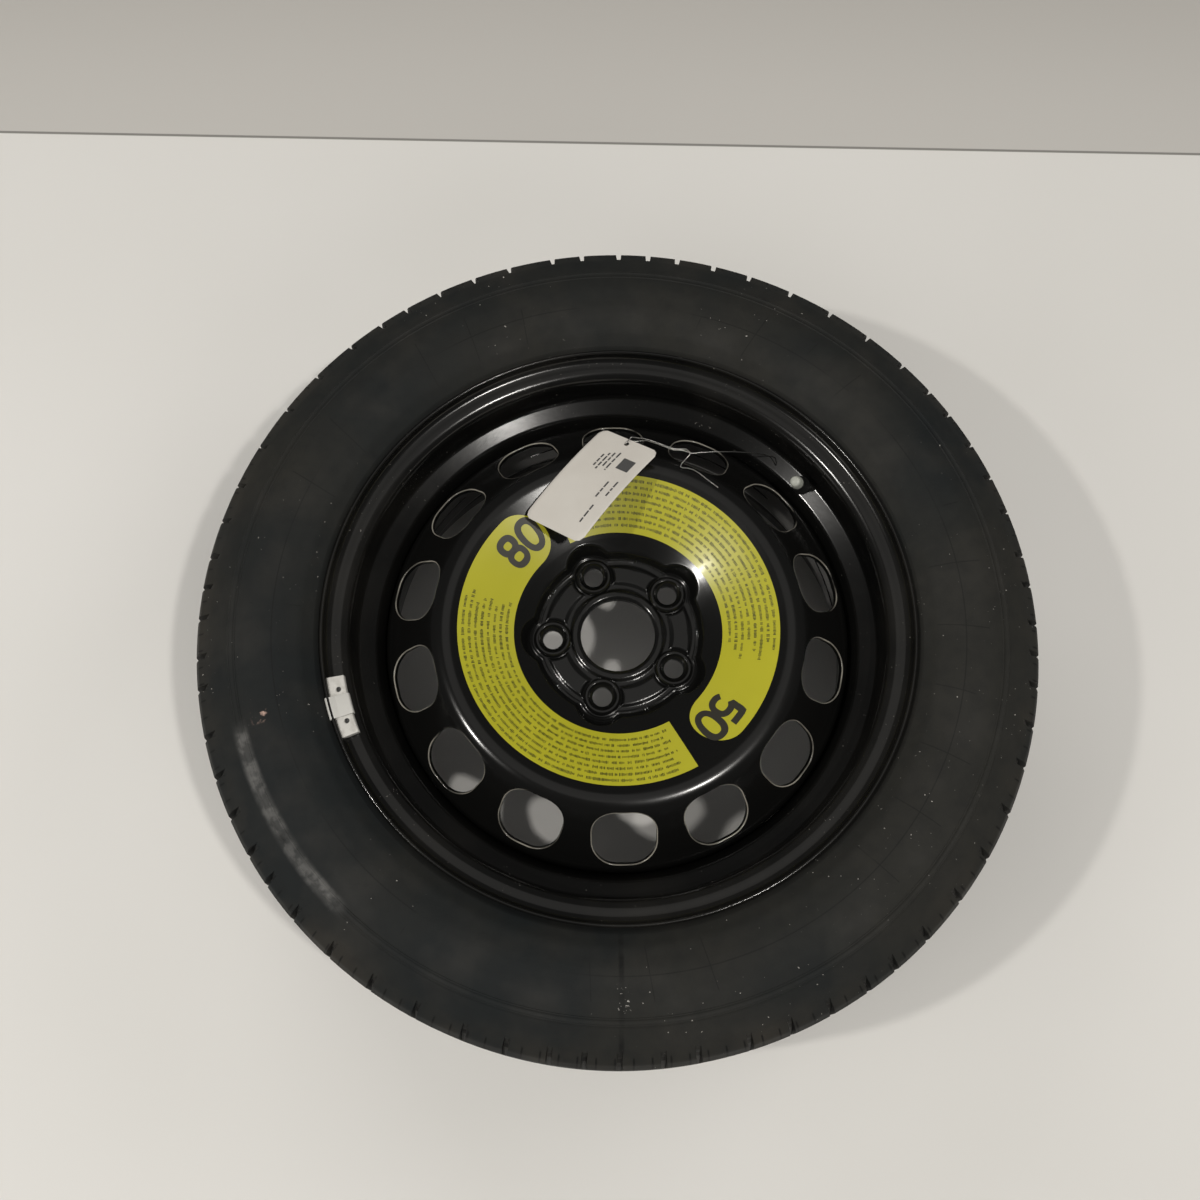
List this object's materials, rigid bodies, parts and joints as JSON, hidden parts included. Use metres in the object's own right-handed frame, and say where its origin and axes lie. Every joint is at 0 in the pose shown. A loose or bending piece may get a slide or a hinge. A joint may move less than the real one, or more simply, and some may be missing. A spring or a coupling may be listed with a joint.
{
  "type": "spare wheel",
  "caption": "Steel car wheel with its tyre fitted, lying on its inner side: pressed disc, rim, snap-in valve, clip-on balance weight, two film stickers and a wired card tag.",
  "frame": {"origin": "centre of the hub bore on the mounting face, where the wheel meets the vehicle's hub", "axes": "+Z along the wheel's axis out of its outer face, so the wheel lies on its inner side; +X to the right in the picture; the hub's spigot comes from -Z"},
  "size_m": [0.6329, 0.633, 0.2159],
  "materials": {
    "tyre": "matt, dusty at the shoulders",
    "rim_enamel": "glossy black enamel",
    "disc_enamel": "satin black enamel",
    "valve_rubber": "matt",
    "brass": "machined",
    "spring_steel": "bright",
    "cap_plastic": "matt",
    "zinc": "coated zinc",
    "clip_steel": "coated spring steel",
    "film": "printed film",
    "card": "coated card",
    "wire": "galvanised"
  },
  "bodies": {
    "wheel": {"tyre": "tyre", "rim": "rim_enamel", "disc": "disc_enamel", "weld_beads": "disc_enamel", "valve_body": "valve_rubber", "valve_stem": "brass", "core_body": "brass", "core_gasket": "valve_rubber", "core_spring": "spring_steel", "balance_weight": "zinc", "weight_clip": "clip_steel", "sticker_left": "film", "sticker_right": "film", "tag": "card", "tag_wire": "wire"},
    "pin": {"core_pin": "brass", "core_washer": "valve_rubber"},
    "cap": {"valve_cap": "cap_plastic"}
  },
  "joints": [
    {"name": "pin_press", "type": "slide", "parent": "wheel", "child": "pin", "axis": [0.3102, 0.2631, -0.9135], "range_m": [0, 0.0012], "stiffness_N_per_m": 1500, "springref_m": -0.002, "deforming": ["core_spring"]},
    {"name": "cap_lift", "type": "slide", "parent": "wheel", "child": "cap", "axis": [-0.3102, -0.2631, 0.9135], "range_m": [0, 0.03]}
  ]
}
